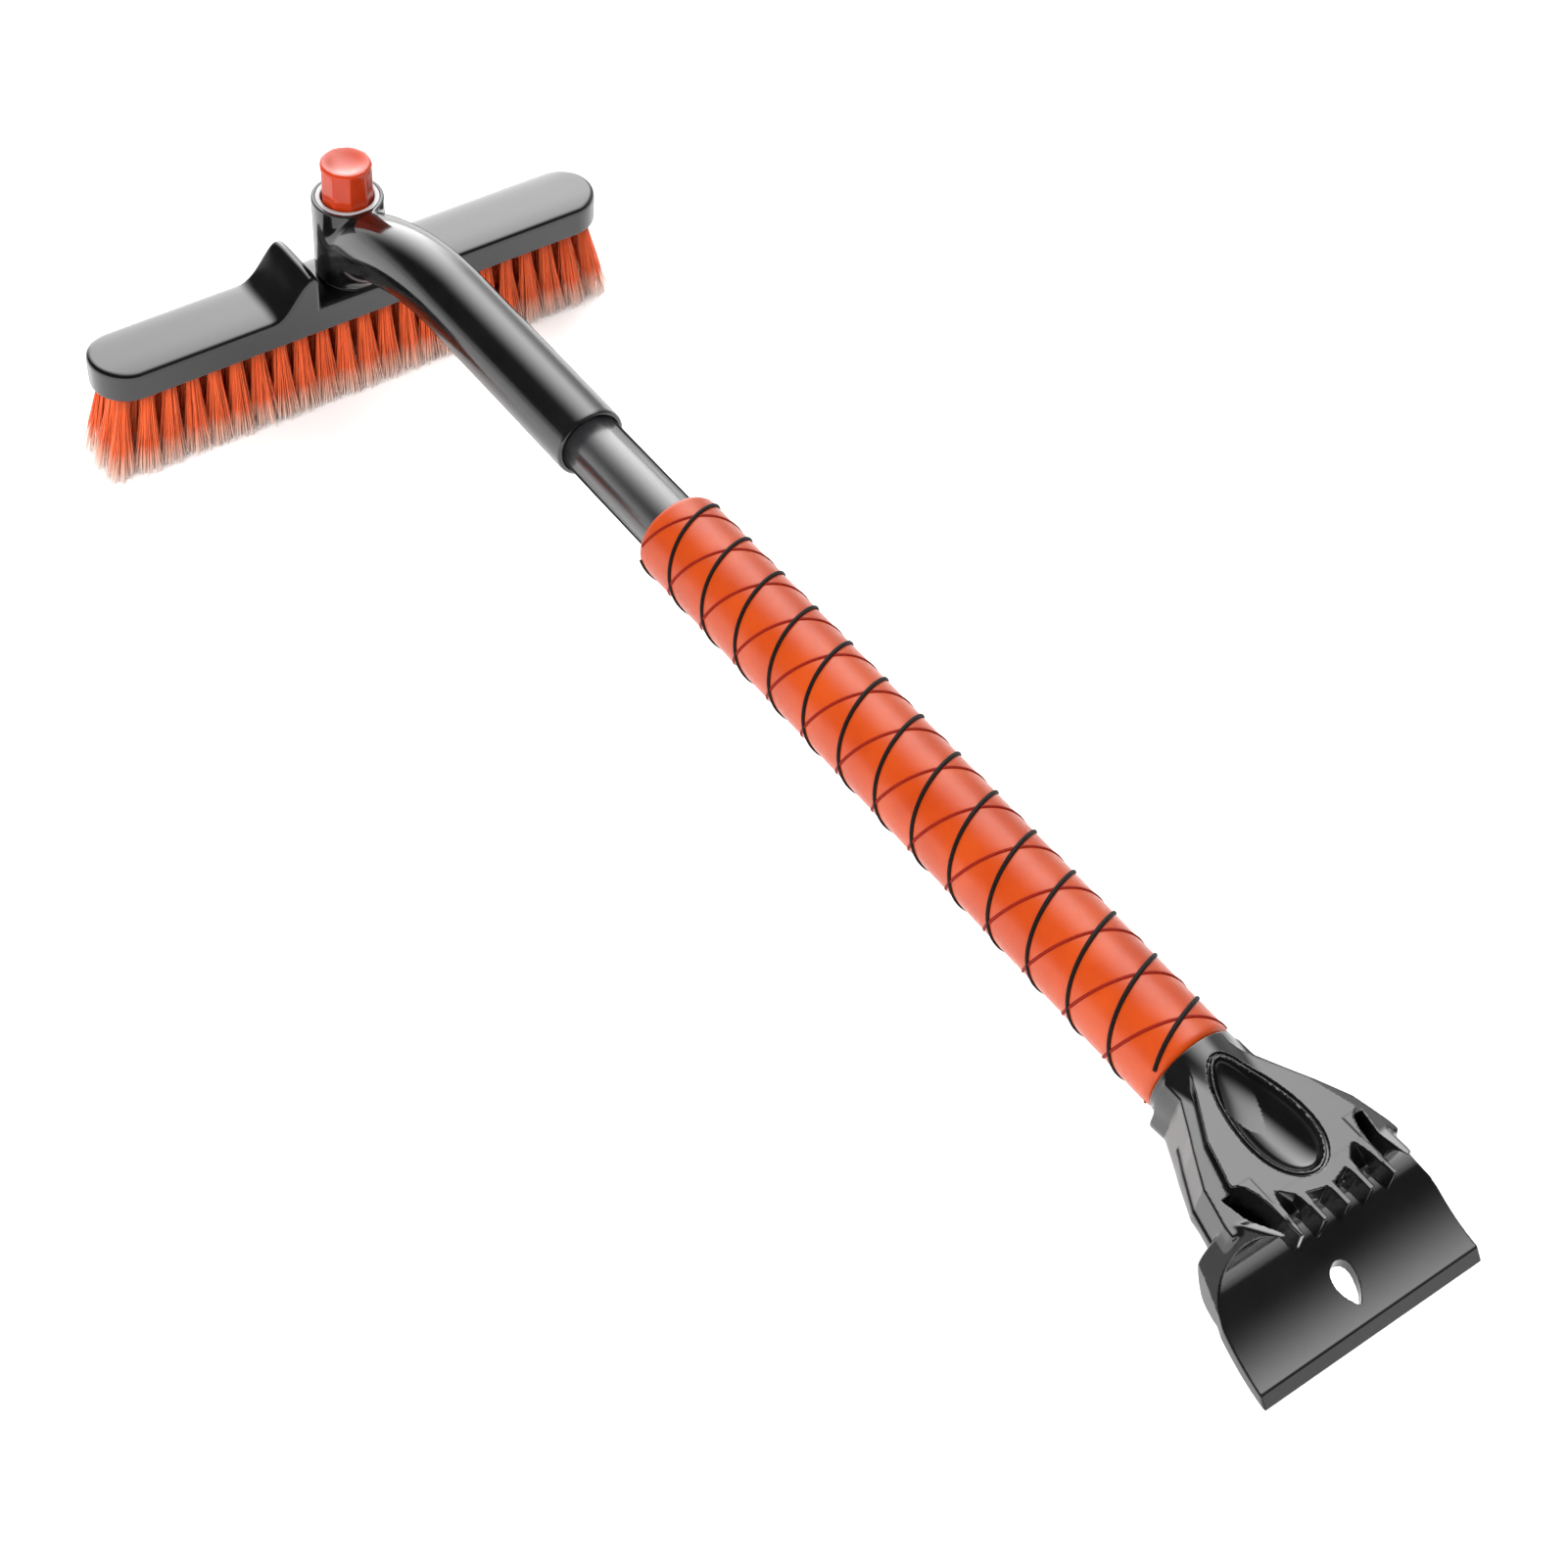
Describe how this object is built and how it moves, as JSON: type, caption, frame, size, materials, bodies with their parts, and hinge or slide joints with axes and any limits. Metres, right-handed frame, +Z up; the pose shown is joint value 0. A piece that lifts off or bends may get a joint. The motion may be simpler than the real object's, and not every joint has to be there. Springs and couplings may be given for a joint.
{
  "type": "snow brush scraper",
  "caption": "Two-piece snow tool: swivelling brush head with push-button lock on a curved arm, and a laced grip shaft ending in an ice scraper.",
  "frame": {"origin": "on the plane of the bristle tips, straight below the swivel axis of the barrel", "axes": "+Z up along the swivel axis; +X along the shaft from the brush to the scraper blade; +Y along the brush head"},
  "size_m": [0.6759, 0.2622, 0.1226],
  "materials": {
    "black_plastic": "high-gloss black moulding",
    "base_plastic": "plain black moulding",
    "grey_plastic": "glossy grey moulding",
    "orange_plastic": "glossy, slightly translucent orange-red",
    "bristle": "orange-red filament with pale frayed tips",
    "steel": "zinc-plated",
    "spring_steel": "oiled spring steel",
    "post_metal": "die-cast zinc",
    "acetal": "white bearing plastic",
    "black_tube": "glossy black anodised tube",
    "foam": "closed-cell foam",
    "grip_leather": "satin orange-red coated grip cover",
    "lacing_red": "thin dark red cord",
    "lacing_black": "thin black cord"
  },
  "bodies": {
    "arm": {"arm_casting": "black_plastic", "barrel_cap_ring": "grey_plastic"},
    "brush": {"brush_block": "black_plastic", "bristle_base": "base_plastic", "front_tufts": "bristle", "middle_tufts": "bristle", "rear_tufts": "bristle", "tuft_staples": "steel", "base_screws": "steel", "pivot_post": "post_metal", "post_screws": "steel", "thrust_washer": "acetal", "retaining_washer": "steel", "snap_ring": "spring_steel", "index_gear": "post_metal", "gear_screw": "steel"},
    "button": {"release_button": "orange_plastic", "lock_ring": "post_metal", "lock_spring": "spring_steel"},
    "handle": {"shaft_tube": "black_tube", "tube_end_plug": "base_plastic", "foam_sleeve": "foam", "grip_cover": "grip_leather", "inner_lacing": "lacing_red", "outer_lacing": "lacing_black", "scraper_head": "black_plastic", "scraper_pin": "steel"}
  },
  "joints": [
    {"name": "brush_swivel", "type": "hinge", "parent": "arm", "child": "brush", "pos_m": [0, 0, 0.0585], "axis": [0, 0, 1], "continuous": true},
    {"name": "button_press", "type": "slide", "parent": "arm", "child": "button", "axis": [0, 0, -1], "range_m": [0, 0.0045], "stiffness_N_per_m": 1200, "springref_m": -0.003, "deforming": ["lock_spring"]},
    {"name": "shaft_pull", "type": "slide", "parent": "arm", "child": "handle", "axis": [1, 0, 0], "range_m": [0, 0.075]}
  ]
}
